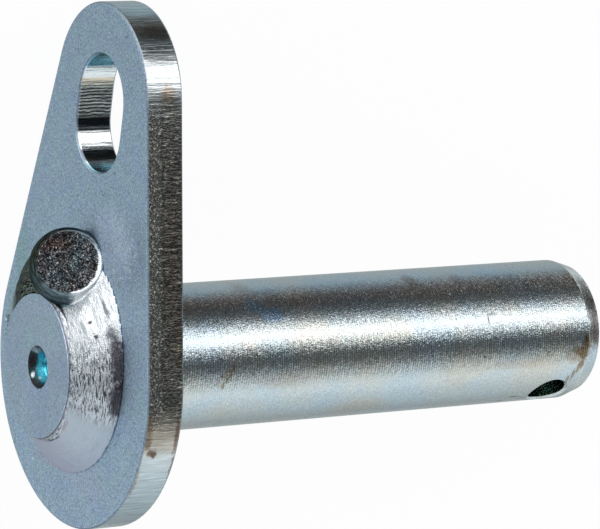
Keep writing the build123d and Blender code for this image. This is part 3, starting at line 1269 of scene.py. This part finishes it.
        # The run's own colour round the bar: bright, then powdery and lavender, then blue-green,
        # then burnt olive in the tail.
        run_colour = add_node(
            tree,
            "ValToRGB",
            {0: turned},
            stops=[
                (0.0, "#D8DCE0"),
                (96, "#D2D6DA"),
                (112, "#BAC6D0"),
                (135, "#BCC6D2"),
                (165, "#B2B8C8"),
                (195, "#A8AEC0"),
                (225, "#A2B2C0"),
                (294, "#9CB9BE"),
                (304, "#A6B0A6"),
                (345, "#A0A89E"),
            ],
            span=FULL_TURN,
        )
        base = add_node(
            tree,
            "Mix",
            {"Factor": 0.1, "A": run_colour, "B": settings.weld_colour},
            data_type="RGBA",
        )
        # How dark the streaks are, round the bar.
        streak_share = add_node(
            tree,
            "ValToRGB",
            {0: turned},
            stops=[
                (15, "#909090"),
                (50, "#808080"),
                (66, "#FFFFFF"),
                (98, "#FFFFFF"),
                (112, "#303030"),
                (290, "#202020"),
                (304, "#FFFFFF"),
            ],
            span=FULL_TURN,
        )
        # The streaks crowd together in the tail, and are near black there.
        tail = add_node(tree, "MapRange", {"Value": angle, "From Min": 290.0, "From Max": 306.0})
        crowded = add_node(tree, "Math", {0: tail, 1: -0.045, 2: streaks}, operation="MULTIPLY_ADD")
        streak_colour = add_node(
            tree,
            "Mix",
            {"Factor": tail, "A": linear("#3C424A"), "B": linear("#262A24")},
            data_type="RGBA",
        )
        dark_streak = add_node(
            tree,
            "MapRange",
            {"Value": crowded, "From Min": 0.53, "From Max": 0.41},
            interpolation_type="SMOOTHSTEP",
        )
        smooth_drop = patch(
            tree, around, ragged, (DROP_ANGLE, DROP_DISTANCE, -12.6), (13.0, 1.5, 4.0)
        )
        off_drop = add_node(tree, "MapRange", {"Value": smooth_drop, "To Min": 1.0, "To Max": 0.1})
        streak = dark_streak
        for share in (streak_share, off_drop):
            streak = add_node(tree, "Math", {0: streak, 1: share}, operation="MULTIPLY")
        marked = lay_marks(tree, around, ragged, base, WELD_MARKS)
        colour = add_node(
            tree, "Mix", {"Factor": streak, "A": marked, "B": streak_colour}, data_type="RGBA"
        )

        # The stopped end, going round its crater from the bright lip: a painted highlight on the
        # lip's side, and elsewhere darker, partly painted shade and partly soot: dark towards the
        # narrow end, olive on the tail's side and blue-green below.
        from_ball = add_node(tree, "VectorMath", {0: at, 1: MOUND_CENTRE}, operation="SUBTRACT")
        ball_distance = add_node(tree, "VectorMath", {0: from_ball}, operation="LENGTH")
        level, ahead, aside = (
            add_node(tree, "VectorMath", {0: from_ball, 1: direction}, operation="DOT_PRODUCT")
            for direction in (CRATER_FACING, LIP_SIDE, LIP_NEXT)
        )
        bearing = add_node(tree, "Math", {0: aside, 1: ahead}, operation="ARCTAN2")
        bearing_degrees = add_node(tree, "Math", {0: bearing}, operation="DEGREES")
        wandering = add_node(
            tree, "Math", {0: ragged, 1: 30.0, 2: bearing_degrees}, operation="MULTIPLY_ADD"
        )
        round_crater = add_node(
            tree,
            "MapRange",
            {"Value": wandering, "From Min": CRATER_TURN[0], "From Max": CRATER_TURN[1]},
        )
        ball_colour_and_highlight = add_node(
            tree,
            "ValToRGB",
            {0: round_crater},
            stops=[
                (-165, "#4E544A"),
                (-125, "#4E585A"),
                (-75, "#566468"),
                (-55, "#6A7C84"),
                (-44, "#F0F4F6"),
                (42, "#F0F4F6"),
                (56, "#98A4AA"),
                (90, "#626C74"),
                (115, "#444A52"),
                (190, "#464C46"),
            ],
            span=CRATER_TURN,
        )
        # Streaks circle the crater; off the bright lip they are strong.
        ball_around = add_node(tree, "CombineXYZ", {0: bearing_degrees, 1: level, 2: ball_distance})
        ball_streaks_at = add_node(
            tree, "Mapping", {"Vector": ball_around, "Scale": (0.045, 2.6, 2.6)}
        )
        ball_streaks = add_node(
            tree,
            "TexNoise",
            {"Vector": ball_streaks_at, "Scale": 1.0, "Detail": 3.0, "Roughness": 0.65},
        )
        scorched = add_node(
            tree,
            "ValToRGB",
            {0: round_crater},
            stops=[(-56, "#FFFFFF"), (-44, "#202020"), (42, "#202020"), (62, "#FFFFFF")],
            span=CRATER_TURN,
        )
        strong_shade = add_node(
            tree,
            "MapRange",
            {
                "Value": ball_streaks,
                "From Min": 0.38,
                "From Max": 0.62,
                "To Min": 0.1,
                "To Max": 2.3,
            },
        )
        ball_shade = add_node(tree, "Mix", {"Factor": scorched, "A": 1.0, "B": strong_shade})
        ball_streaked = add_node(
            tree, "VectorMath", {0: ball_colour_and_highlight, "Scale": ball_shade}, operation="SCALE"
        )
        on_ball = add_node(
            tree,
            "MapRange",
            {
                "Value": ball_distance,
                "From Min": MOUND_RADIUS + 0.62,
                "From Max": MOUND_RADIUS + 0.42,
            },
        )
        colour = add_node(
            tree, "Mix", {"Factor": on_ball, "A": colour, "B": ball_streaked}, data_type="RGBA"
        )

        # The crater: slag, dark grey and granular, redder towards its upper edge.  It lies
        # off centre, clear of the bright lip and over the rim on the tail's side.
        off_slag = add_node(tree, "VectorMath", {0: from_ball, 1: LIP_SIDE * 0.5}, operation="ADD")
        off_centre, slag_reach = (
            add_node(
                tree,
                "VectorMath",
                {
                    0: add_node(
                        tree, "VectorMath", {0: offset, 1: CRATER_FACING}, operation="CROSS_PRODUCT"
                    ),
                },
                operation="LENGTH",
            )
            for offset in (from_ball, off_slag)
        )
        slag_edge = add_node(
            tree, "Math", {0: ragged, 1: 1.0, 2: slag_reach}, operation="MULTIPLY_ADD"
        )
        inside = add_node(
            tree,
            "MapRange",
            {
                "Value": slag_edge,
                "From Min": CRATER_RADIUS + 0.55,
                "From Max": CRATER_RADIUS + 0.25,
            },
        )
        above = add_node(tree, "Math", {0: level, 1: CRATER_LEVEL - 1.4}, operation="GREATER_THAN")
        in_crater = add_node(tree, "Math", {0: inside, 1: above}, operation="MULTIPLY")
        slag_tint = add_node(
            tree,
            "ValToRGB",
            {0: clouds},
            stops=[(0.40, "#8A9AA0"), (0.5, "#868A8E"), (0.60, "#8A888A")],
        )
        slag_shade = add_node(
            tree,
            "ValToRGB",
            {0: grain},
            stops=[(0.38, "#202020"), (0.52, "#525252"), (0.63, "#A0A0A0"), (0.71, "#FFFFFF")],
        )
        slag_grains = add_node(
            tree, "VectorMath", {0: slag_tint, 1: slag_shade}, operation="MULTIPLY"
        )
        # It clots: some of it is blacker, and bigger grains glint in the rest.
        clots = add_node(
            tree,
            "MapRange",
            {"Value": ragged, "From Min": 0.38, "From Max": 0.62, "To Min": 0.9, "To Max": 3.5},
        )
        slag = add_node(tree, "VectorMath", {0: slag_grains, "Scale": clots}, operation="SCALE")
        red_edge = patch(tree, at, ragged, MOUND_CENTRE + Vector((-3.6, 5.2, 0.4)), (4.2, 2.0, 3.4))
        reddened = add_node(tree, "Math", {0: red_edge, 1: 0.5}, operation="MULTIPLY")
        slag_colour = add_node(
            tree,
            "Mix",
            {"Factor": reddened, "A": slag, "B": linear("#F2BC9E")},
            data_type="RGBA",
            blend_type="MULTIPLY",
        )
        # A painted highlight runs along the crest of the lip, and dies out on the tail's side.
        crest = add_node(
            tree,
            "ValToRGB",
            {0: round_crater},
            stops=[
                (-120, "#000000"),
                (-60, "#808080"),
                (40, "#FFFFFF"),
                (60, "#303030"),
                (88, "#D8D8D8"),
                (140, "#D0D0D0"),
                (165, "#000000"),
            ],
            span=CRATER_TURN,
        )
        on_crest = patch(
            tree,
            add_node(tree, "CombineXYZ", {0: off_centre, 1: level}),
            ragged,
            (CRATER_RADIUS + 0.22, CRATER_LEVEL + 0.1, 0),
            (0.26, 0.8, 1),
        )
        crest_highlight = add_node(tree, "Math", {0: on_crest, 1: crest}, operation="MULTIPLY")
        colour = add_node(
            tree,
            "Mix",
            {"Factor": crest_highlight, "A": colour, "B": linear("#D4DCE0")},
            data_type="RGBA",
        )
        colour = add_node(
            tree, "Mix", {"Factor": in_crater, "A": colour, "B": slag_colour}, data_type="RGBA"
        )

        run_rough = add_node(
            tree,
            "ValToRGB",
            {0: turned},
            stops=[
                (96, "#585858"),
                (112, "#B8B8B8"),
                (210, "#B8B8B8"),
                (300, "#8C8C8C"),
                (350, "#606060"),
            ],
            span=FULL_TURN,
        )
        # Where it was laid cold the plating is powdery, and scatters light.
        run_metal = add_node(
            tree,
            "ValToRGB",
            {0: turned},
            stops=[(98, "#FFFFFF"), (116, "#CACACA"), (205, "#CACACA"), (232, "#FFFFFF")],
            span=FULL_TURN,
        )
        # Soot and oxide hold back the gleam of scorched metal seen edge on.
        scorched_ball = add_node(tree, "Math", {0: on_ball, 1: scorched}, operation="MULTIPLY")
        sooty = add_node(tree, "Math", {0: scorched_ball, 1: tail}, operation="MAXIMUM")
        edge_tint = add_node(
            tree,
            "Mix",
            {"Factor": sooty, "A": (1, 1, 1, 1), "B": linear("#808480")},
            data_type="RGBA",
        )
        off_slag_rough = add_node(tree, "Mix", {"Factor": scorched_ball, "A": run_rough, "B": 0.34})
        rough = add_node(tree, "Mix", {"Factor": in_crater, "A": off_slag_rough, "B": 0.28})
        streak_relief = add_node(tree, "Math", {0: streaks, 1: off_drop}, operation="MULTIPLY")
        relief = add_node(
            tree, "Math", {0: streak_relief, 1: 1.6, 2: grain}, operation="MULTIPLY_ADD"
        )
        bumps = add_node(tree, "Bump", {"Height": relief, "Strength": 1.0, "Distance": 0.10 * MM})
        shader = add_node(
            tree,
            "BsdfPrincipled",
            {
                "Base Color": colour,
                "Metallic": run_metal,
                "Specular Tint": edge_tint,
                "Roughness": rough,
                "Normal": bumps,
            },
        )
        add_node(tree, "OutputMaterial", {"Surface": shader})
        return material


class PIVOTPIN_PT_looks(bpy.types.Panel):
    """Sizes, colours and steps of the pivot pin's looks"""

    bl_idname = "PIVOTPIN_PT_looks"
    bl_label = "Pivot Pin"
    bl_space_type = "VIEW_3D"
    bl_region_type = "UI"
    bl_category = "Pivot Pin"

    def draw(self, context):
        for settings in (context.scene.pivot_pin_stage, context.scene.pivot_pin_finish):
            for name in settings.__annotations__:
                self.layout.prop(settings, name)
        for step in STEPS:
            self.layout.operator(step)


STEPS = ("pivotpin.stage", "pivotpin.bar", "pivotpin.lug", "pivotpin.weld")
CLASSES = (
    PivotPinStage,
    PivotPinFinish,
    PIVOTPIN_OT_stage,
    PIVOTPIN_OT_bar,
    PIVOTPIN_OT_lug,
    PIVOTPIN_OT_weld,
    PIVOTPIN_PT_looks,
)


def register():
    for cls in CLASSES:
        bpy.utils.register_class(cls)
    bpy.types.Scene.pivot_pin_stage = bpy.props.PointerProperty(type=PivotPinStage)
    bpy.types.Scene.pivot_pin_finish = bpy.props.PointerProperty(type=PivotPinFinish)


def unregister():
    del bpy.types.Scene.pivot_pin_finish
    del bpy.types.Scene.pivot_pin_stage
    for cls in reversed(CLASSES):
        bpy.utils.unregister_class(cls)


def main():
    register()
    for step in STEPS:
        area, name = step.split(".")
        getattr(getattr(bpy.ops, area), name)()


if __name__ == "__main__":
    main()
